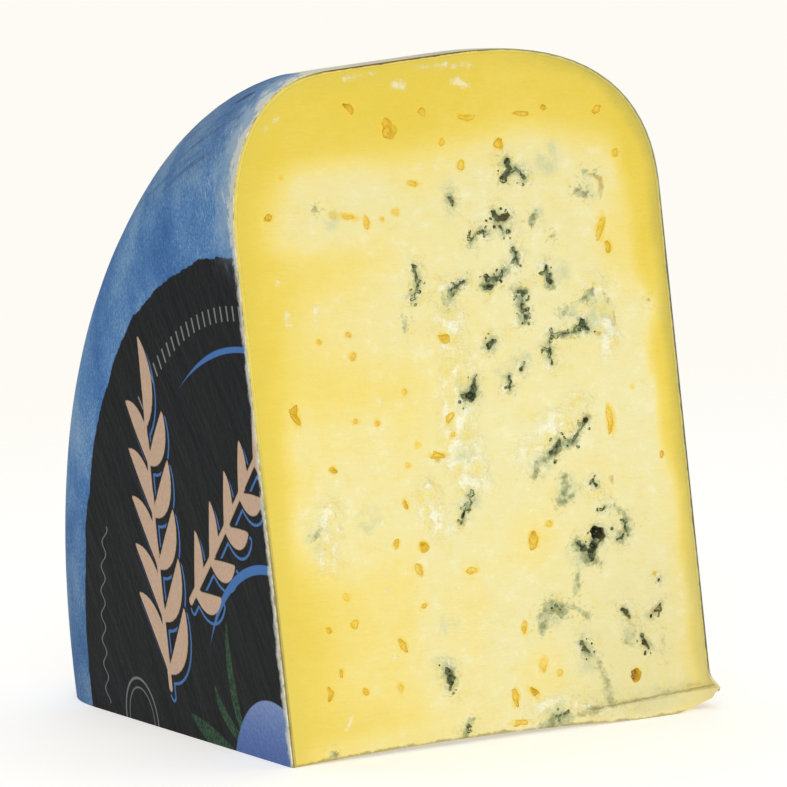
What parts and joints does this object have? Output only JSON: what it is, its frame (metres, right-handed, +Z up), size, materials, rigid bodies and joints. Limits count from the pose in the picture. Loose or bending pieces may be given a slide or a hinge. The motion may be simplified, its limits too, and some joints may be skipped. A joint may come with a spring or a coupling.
{
  "type": "cheese wedge",
  "caption": "Quarter of a blue-veined, gouda-style cheese wheel standing on a cut face, with its coating and printed paper label.",
  "frame": {"origin": "middle of the bounding box, on the level base cut that the wedge stands on", "axes": "+Z up out of the base cut; X runs through the wheel's thickness, from the labelled side at -X to the plain side at +X; the front cut face looks along -Y and the rim is at +Y and +Z"},
  "size_m": [0.088, 0.1254, 0.125],
  "materials": {
    "paste": "semi-firm cheese, soft sheen on the cut",
    "coating": "thin brushed-on cheese coating, satin",
    "label": "uncoated printed paper, matt"
  },
  "bodies": {
    "root": {"cheese": "paste", "rind_coating": "coating", "paper_label": "label"}
  },
  "joints": []
}
